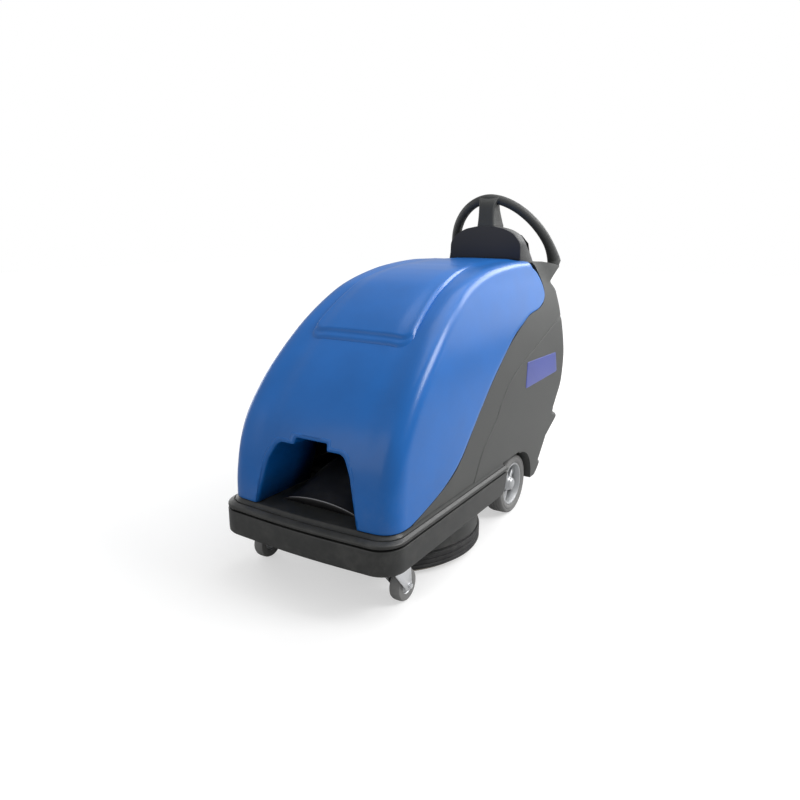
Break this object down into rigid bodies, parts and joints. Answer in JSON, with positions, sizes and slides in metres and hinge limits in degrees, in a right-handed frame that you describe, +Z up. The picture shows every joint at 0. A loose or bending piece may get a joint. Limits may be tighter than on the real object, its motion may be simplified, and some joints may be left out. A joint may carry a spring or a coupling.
{
  "type": "high speed burnisher",
  "caption": "Battery walk-behind floor burnisher with a hinged moulded hood, lifting pad head, drive wheels, swivel casters and a hoop handle.",
  "frame": {"origin": "on the floor, under the middle of the whole machine's box", "axes": "+Z up, -Y the way the machine drives; in node names left is -X and right is +X, as seen by someone facing the machine's front"},
  "size_m": [0.57, 1.3067, 1.0525],
  "materials": {
    "hood_plastic": "moulded blue polyethylene, satin gloss",
    "body_plastic": "moulded grey polyethylene, fine grain",
    "deck_plastic": "dark grey moulded, fine grain",
    "black_plastic": "black moulded",
    "console_plastic": "near black, satin",
    "grip": "charcoal, grained",
    "tyre": "grey non-marking rubber",
    "silver_paint": "silver paint, satin",
    "zinc_plate": "bright zinc plate",
    "black_paint": "black powder coat",
    "battery_case": "black polypropylene case",
    "pad_fibre": "open non-woven fibre, natural",
    "red_plastic": "red, glossy",
    "display": "dark display window",
    "plate_blue": "plain blue plate, no lettering"
  },
  "bodies": {
    "chassis": {"deck": "deck_plastic", "rear_body": "body_plastic", "hinge_base": "zinc_plate", "console_housing": "body_plastic", "console_cover": "console_plastic", "handle_hoop": "grip", "handle_column": "body_plastic", "hoop_socket_left": "body_plastic", "hoop_socket_right": "body_plastic", "main_frame": "black_paint", "battery_tray": "black_plastic", "battery_1": "battery_case", "battery_2": "battery_case", "battery_3": "battery_case", "battery_4": "battery_case", "battery_5": "battery_case", "battery_6": "battery_case", "controller_box": "silver_paint", "inner_front_cover": "black_plastic", "transaxle": "black_paint", "drive_motor": "black_paint", "caster_plate_left": "zinc_plate", "caster_plate_right": "zinc_plate", "lift_actuator": "black_paint", "control_panel": "black_plastic", "key_switch": "zinc_plate", "battery_gauge": "display", "hour_meter": "display", "drive_control": "black_plastic", "charger_socket": "black_plastic", "side_plate_left": "plate_blue", "side_plate_right": "plate_blue"},
    "hood": {"hood": "hood_plastic", "hinge_leaf": "zinc_plate"},
    "head": {"head_shroud": "deck_plastic", "head_skirt": "black_plastic", "pad_motor": "black_paint", "pad_motor_cap": "black_paint", "lift_rod": "zinc_plate"},
    "pad_drive": {"pad_driver": "black_paint", "burnishing_pad": "pad_fibre", "pad_lock": "black_plastic"},
    "wheel_left": {"drive_tyre_left": "tyre", "drive_hub_left": "silver_paint", "wheel_cap_left": "silver_paint"},
    "caster_left": {"caster_fork_left": "zinc_plate"},
    "caster_roller_left": {"caster_wheel_left": "tyre"},
    "wheel_right": {"drive_tyre_right": "tyre", "drive_hub_right": "silver_paint", "wheel_cap_right": "silver_paint"},
    "caster_right": {"caster_fork_right": "zinc_plate"},
    "caster_roller_right": {"caster_wheel_right": "tyre"},
    "key": {"ignition_key": "zinc_plate"},
    "speed_dial": {"speed_knob": "black_plastic"},
    "rocker": {"pad_rocker": "black_plastic"},
    "stop": {"stop_button": "red_plastic"},
    "paddle_left": {"drive_paddle_left": "grip"},
    "paddle_right": {"drive_paddle_right": "grip"},
    "breaker": {"breaker_button": "red_plastic"}
  },
  "joints": [
    {"name": "hood_hinge", "type": "hinge", "parent": "chassis", "child": "hood", "pos_m": [0, 0.4158, 0.82], "axis": [-1, 0, 0], "range_deg": [0, 70]},
    {"name": "head_lift", "type": "slide", "parent": "chassis", "child": "head", "axis": [0, 0, 1], "range_m": [0, 0.028]},
    {"name": "pad_spin", "type": "hinge", "parent": "head", "child": "pad_drive", "pos_m": [0, -0.1987, 0.03], "axis": [0, 0, -1], "continuous": true},
    {"name": "wheel_left_spin", "type": "hinge", "parent": "chassis", "child": "wheel_left", "pos_m": [-0.222, 0.1713, 0.1], "axis": [1, 0, 0], "continuous": true},
    {"name": "caster_left_swivel", "type": "hinge", "parent": "chassis", "child": "caster_left", "pos_m": [-0.234, -0.5407, 0.11], "axis": [0, 0, 1], "continuous": true},
    {"name": "caster_left_roll", "type": "hinge", "parent": "caster_left", "child": "caster_roller_left", "pos_m": [-0.234, -0.5087, 0.044], "axis": [1, 0, 0], "continuous": true},
    {"name": "wheel_right_spin", "type": "hinge", "parent": "chassis", "child": "wheel_right", "pos_m": [0.222, 0.1713, 0.1], "axis": [1, 0, 0], "continuous": true},
    {"name": "caster_right_swivel", "type": "hinge", "parent": "chassis", "child": "caster_right", "pos_m": [0.234, -0.5407, 0.11], "axis": [0, 0, 1], "continuous": true},
    {"name": "caster_right_roll", "type": "hinge", "parent": "caster_right", "child": "caster_roller_right", "pos_m": [0.234, -0.5087, 0.044], "axis": [1, 0, 0], "continuous": true},
    {"name": "key_turn", "type": "hinge", "parent": "chassis", "child": "key", "pos_m": [-0.084, 0.55581, 0.88491], "axis": [0, -0.9483, -0.3173], "range_deg": [0, 90]},
    {"name": "speed_turn", "type": "hinge", "parent": "chassis", "child": "speed_dial", "pos_m": [0.084, 0.55581, 0.88491], "axis": [0, -0.9483, -0.3173], "range_deg": [0, 270]},
    {"name": "rocker_tilt", "type": "hinge", "parent": "chassis", "child": "rocker", "pos_m": [-0.04, 0.55012, 0.88301], "axis": [1, 0, 0], "range_deg": [-8, 8], "stiffness_Nm_per_rad": 0.2},
    {"name": "stop_press", "type": "slide", "parent": "chassis", "child": "stop", "axis": [0, -0.9483, -0.3173], "range_m": [0, 0.0025], "stiffness_N_per_m": 400},
    {"name": "paddle_left_turn", "type": "hinge", "parent": "chassis", "child": "paddle_left", "pos_m": [0, 0.57356, 0.85078], "axis": [1, 0, 0], "range_deg": [-20, 20], "stiffness_Nm_per_rad": 0.4},
    {"name": "paddle_right_turn", "type": "hinge", "parent": "chassis", "child": "paddle_right", "pos_m": [0, 0.57356, 0.85078], "axis": [1, 0, 0], "range_deg": [-20, 20], "stiffness_Nm_per_rad": 0.4},
    {"name": "breaker_press", "type": "slide", "parent": "chassis", "child": "breaker", "axis": [0, -1, 0], "range_m": [0, 0.003], "stiffness_N_per_m": 300}
  ],
  "couplings": [
    {"joint": "paddle_right_turn", "follows": "paddle_left_turn", "ratio": 1}
  ]
}
